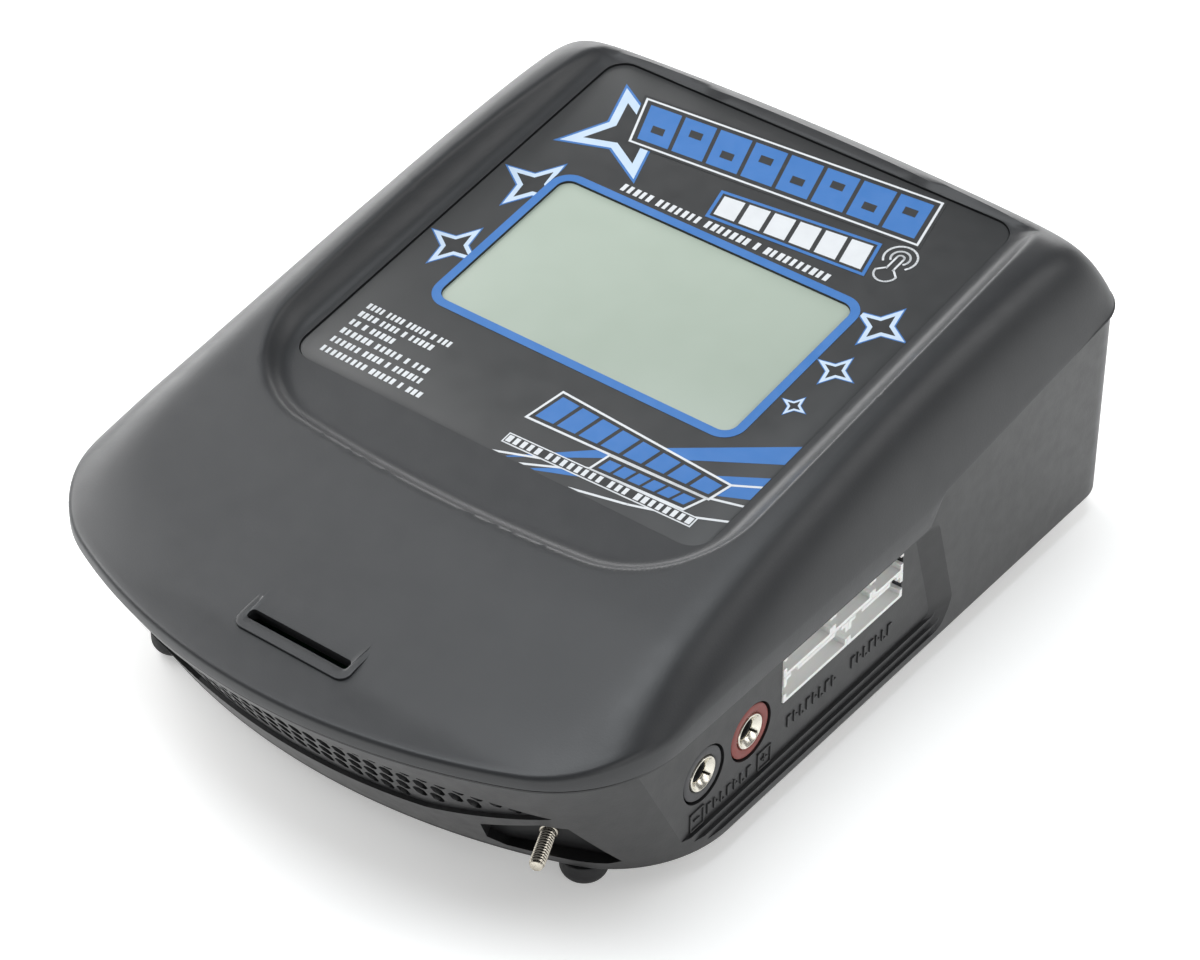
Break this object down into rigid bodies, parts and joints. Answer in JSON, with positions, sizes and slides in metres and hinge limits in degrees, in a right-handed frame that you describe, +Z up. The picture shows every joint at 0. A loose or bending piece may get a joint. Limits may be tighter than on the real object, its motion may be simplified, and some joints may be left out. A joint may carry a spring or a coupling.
{
  "type": "balance battery charger",
  "caption": "Desktop balance charger for hobby battery packs: domed front, inclined touch panel, side output jacks and balance sockets, rear fan and inlets.",
  "frame": {"origin": "centre of the footprint on the plane the feet rest on", "axes": "+X to the right (socket side), -Y to the front (low dome), +Z up"},
  "size_m": [0.134, 0.18, 0.0655],
  "materials": {
    "cover_plastic": "fine spark texture, charcoal",
    "case_plastic": "fine spark texture, charcoal",
    "panel_film": "satin printed film",
    "lcd_glass": "pale grey-green polariser, satin",
    "module_metal": "stamped",
    "board_green": "solder mask",
    "ribbon_film": "film",
    "light_bar": "smoked",
    "collar_black": "moulded",
    "collar_red": "moulded, brick red",
    "plated_metal": "nickel plated, warm tint",
    "socket_nylon": "natural nylon, white",
    "stud_steel": "nickel plated",
    "foot_rubber": "moulded",
    "screw_steel": "zinc plated",
    "ferrite": "ground core with tape",
    "copper_coil": "enamelled wire",
    "capacitor_sleeve": "shrink sleeve",
    "sink_aluminium": "extruded",
    "epoxy_black": "moulded",
    "fuse_ceramic": "ceramic tube",
    "fan_plastic": "glass filled",
    "inlet_plastic": "moulded"
  },
  "bodies": {
    "case": {"upper_cover": "cover_plastic", "lower_case": "case_plastic", "touch_panel": "panel_film", "lcd_screen": "lcd_glass", "lcd_module": "module_metal", "touch_board": "board_green", "display_ribbon": "ribbon_film", "status_light_bar": "light_bar", "status_board": "board_green", "collar_negative": "collar_black", "collar_positive": "collar_red", "sleeve_negative": "plated_metal", "sleeve_positive": "plated_metal", "socket_7pin": "socket_nylon", "socket_6pin": "socket_nylon", "socket_5pin": "socket_nylon", "socket_4pin": "socket_nylon", "socket_3pin": "socket_nylon", "balance_pins": "plated_metal", "balance_board": "board_green", "front_stud": "stud_steel", "stud_nut": "stud_steel", "feet": "foot_rubber", "case_screws": "screw_steel", "main_board": "board_green", "board_screws": "screw_steel", "transformer": "ferrite", "inductor": "copper_coil", "capacitors": "capacitor_sleeve", "heat_sink": "sink_aluminium", "power_transistors": "epoxy_black", "buzzer": "epoxy_black", "input_fuse": "fuse_ceramic", "fan_frame": "fan_plastic", "fan_screws": "screw_steel", "mains_inlet": "inlet_plastic", "mains_pins": "plated_metal", "dc_inlet": "inlet_plastic", "dc_pin": "plated_metal"},
    "fan": {"fan_rotor": "fan_plastic"}
  },
  "joints": [
    {"name": "fan_spin", "type": "hinge", "parent": "case", "child": "fan", "pos_m": [-0.02, 0.08, 0.028], "axis": [0, -1, 0], "continuous": true}
  ]
}
